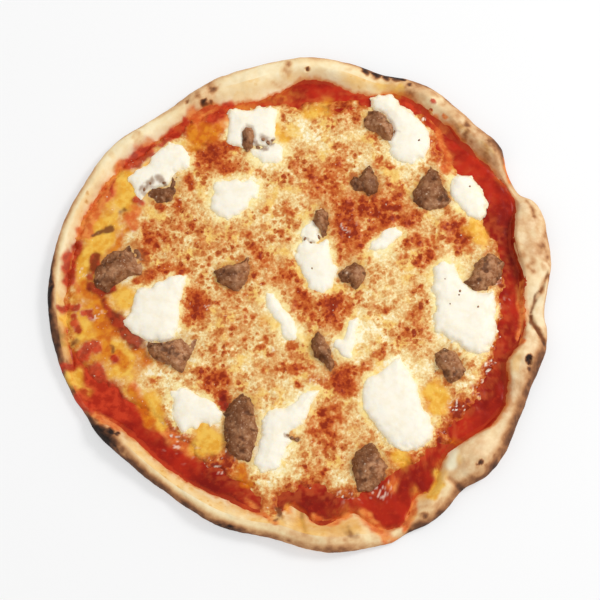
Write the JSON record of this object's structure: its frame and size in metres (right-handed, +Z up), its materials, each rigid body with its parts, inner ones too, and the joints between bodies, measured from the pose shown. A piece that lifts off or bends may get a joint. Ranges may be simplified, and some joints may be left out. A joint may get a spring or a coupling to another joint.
{
  "type": "sausage pizza",
  "caption": "Whole round pizza lying flat: uneven raised crust, tomato sauce, melted cheese, spoonfuls of fresh white cheese and torn chunks of sausage.",
  "frame": {"origin": "centre of the pizza's box, on the surface that it lies on", "axes": "+Z up out of the toppings, +Y towards the far side as served, +X to the right"},
  "size_m": [0.3188, 0.3222, 0.0177],
  "materials": {
    "crust": "dry floury baked dough, toasted and scorched in places",
    "sauce": "wet tomato sauce",
    "melted_cheese": "oily melted cheese with browned blisters",
    "fresh_cheese": "moist soft white cheese",
    "sausage": "coarse cooked minced meat"
  },
  "bodies": {
    "root": {"crust": "crust", "fresh_cheese_01": "fresh_cheese", "fresh_cheese_02": "fresh_cheese", "fresh_cheese_03": "fresh_cheese", "fresh_cheese_04": "fresh_cheese", "fresh_cheese_05": "fresh_cheese", "fresh_cheese_06": "fresh_cheese", "fresh_cheese_07": "fresh_cheese", "fresh_cheese_08": "fresh_cheese", "fresh_cheese_09": "fresh_cheese", "fresh_cheese_10": "fresh_cheese", "fresh_cheese_11": "fresh_cheese", "fresh_cheese_12": "fresh_cheese", "fresh_cheese_13": "fresh_cheese", "fresh_cheese_14": "fresh_cheese", "fresh_cheese_15": "fresh_cheese", "fresh_cheese_16": "fresh_cheese", "melted_cheese": "melted_cheese", "sausage_01": "sausage", "sausage_02": "sausage", "sausage_03": "sausage", "sausage_04": "sausage", "sausage_05": "sausage", "sausage_06": "sausage", "sausage_07": "sausage", "sausage_08": "sausage", "sausage_09": "sausage", "sausage_10": "sausage", "sausage_11": "sausage", "sausage_12": "sausage", "sausage_13": "sausage", "sausage_14": "sausage", "sausage_15": "sausage", "tomato_sauce": "sauce"}
  },
  "joints": []
}
